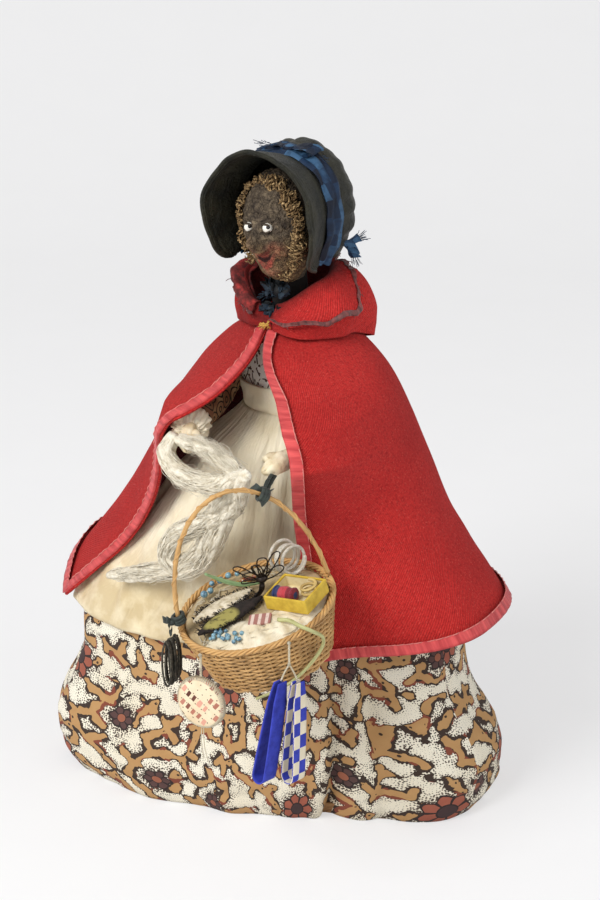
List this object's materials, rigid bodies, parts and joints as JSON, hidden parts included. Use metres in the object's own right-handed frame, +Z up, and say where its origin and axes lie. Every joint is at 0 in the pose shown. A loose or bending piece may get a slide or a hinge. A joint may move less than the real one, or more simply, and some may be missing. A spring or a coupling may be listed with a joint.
{
  "type": "pedlar doll",
  "caption": "Standing pedlar doll in a hooded red cloak, bonnet, apron and printed skirt, holding raw wool and a cane basket of small wares that swings from one hand.",
  "frame": {"origin": "centre of the body post on the flat underside of the base board, on the floor", "axes": "+Z up, the doll faces -Y, +X towards the doll's left hand and basket"},
  "size_m": [0.1991, 0.1881, 0.2852],
  "materials": {
    "board_wood": "plain",
    "stuffing": "stuffed cotton",
    "skirt_print": "printed cotton",
    "bodice_print": "sprigged cotton",
    "apron_cotton": "plain cotton",
    "sleeve_print": "printed cotton",
    "kid_leather": "pale kid",
    "cloak_wool": "red woven wool",
    "binding_ribbon": "faded silk ribbon",
    "hood_ribbon": "worn silk ribbon",
    "gold_thread": "thread",
    "face_paint": "dark painted",
    "eye_white": "gloss",
    "hair": "crimped",
    "bonnet_silk": "dark silk",
    "blue_ribbon": "frayed silk",
    "cane": "woven cane",
    "lining": "paper and cloth bedding",
    "tray_card": "painted card",
    "reel_thread": "wound thread",
    "straw": "straw",
    "white_cord": "cotton cord",
    "black_wire": "japanned wire",
    "pale_felt": "fringed felt",
    "dark_felt": "fringed felt",
    "stem_green": "dried stem",
    "blue_glass": "beads",
    "red_glass": "beads",
    "pink_card": "striped card",
    "dark_ribbon": "ribbon",
    "black_lace": "braid",
    "disc_print": "printed cotton",
    "blue_webbing": "webbing",
    "check_webbing": "checked webbing",
    "raw_wool": "raw fleece"
  },
  "bodies": {
    "doll": {"base_board": "board_wood", "body_post": "board_wood", "skirt_padding": "stuffing", "skirt": "skirt_print", "torso": "stuffing", "bodice": "bodice_print", "apron_band": "apron_cotton", "apron": "apron_cotton", "right_arm": "stuffing", "right_sleeve": "sleeve_print", "right_hand": "kid_leather", "left_arm": "stuffing", "left_sleeve": "sleeve_print", "left_hand": "kid_leather", "right_cuff": "apron_cotton", "cloak": "cloak_wool", "cloak_binding": "binding_ribbon", "hood": "cloak_wool", "hood_binding": "hood_ribbon", "throat_stitch": "gold_thread", "wool_hank": "raw_wool"},
    "head": {"head": "face_paint", "right_eye": "eye_white", "left_eye": "eye_white", "hair_frill": "hair", "bonnet_brim": "bonnet_silk", "bonnet_crown": "bonnet_silk", "bonnet_ribbon": "blue_ribbon", "bonnet_bow": "blue_ribbon", "bonnet_back_bow": "blue_ribbon", "chin_bow": "blue_ribbon"},
    "tie": {"hand_tie": "dark_ribbon"},
    "basket": {"basket_bowl": "cane", "basket_rim": "cane", "basket_handle": "cane", "basket_lining": "lining", "yellow_tray": "tray_card", "thread_reel": "reel_thread", "straw_coil": "straw", "cord_coil": "white_cord", "hairpin_bundle": "black_wire", "wiper_pale": "pale_felt", "wiper_dark": "dark_felt", "green_stem": "stem_green", "bent_stem": "stem_green", "blue_beads": "blue_glass", "red_beads": "red_glass", "pin_card": "pink_card", "handle_tie": "dark_ribbon"},
    "disc": {"disc_string": "white_cord", "disc_pincushion": "disc_print"},
    "garters": {"garter_string": "white_cord", "garter_blue": "blue_webbing", "garter_check": "check_webbing"},
    "laces": {"lace_hank": "black_lace"}
  },
  "joints": [
    {"name": "head_turn", "type": "hinge", "parent": "doll", "child": "head", "pos_m": [0, 0, 0.222], "axis": [0, 0, 1], "range_deg": [-8, 8]},
    {"name": "basket_swing", "type": "hinge", "parent": "doll", "child": "tie", "pos_m": [0.034, -0.07954, 0.16533], "axis": [-0.6947, -0.7193, 0], "range_deg": [0, 28]},
    {"name": "basket_tilt", "type": "hinge", "parent": "tie", "child": "basket", "pos_m": [0.034, -0.07954, 0.16533], "axis": [-0.7284, 0.6833, 0.0503], "range_deg": [0, 8]},
    {"name": "disc_swing", "type": "hinge", "parent": "basket", "child": "disc", "pos_m": [0.02462, -0.11146, 0.10822], "axis": [-0.9824, 0.1867, 0], "range_deg": [-6, 30]},
    {"name": "garter_swing", "type": "hinge", "parent": "basket", "child": "garters", "pos_m": [0.05746, -0.09997, 0.11628], "axis": [-0.6074, -0.7944, 0], "range_deg": [-6, 8]},
    {"name": "lace_swing", "type": "hinge", "parent": "basket", "child": "laces", "pos_m": [0.00787, -0.10704, 0.11038], "axis": [-0.7678, 0.6407, 0], "range_deg": [-6, 25]}
  ]
}
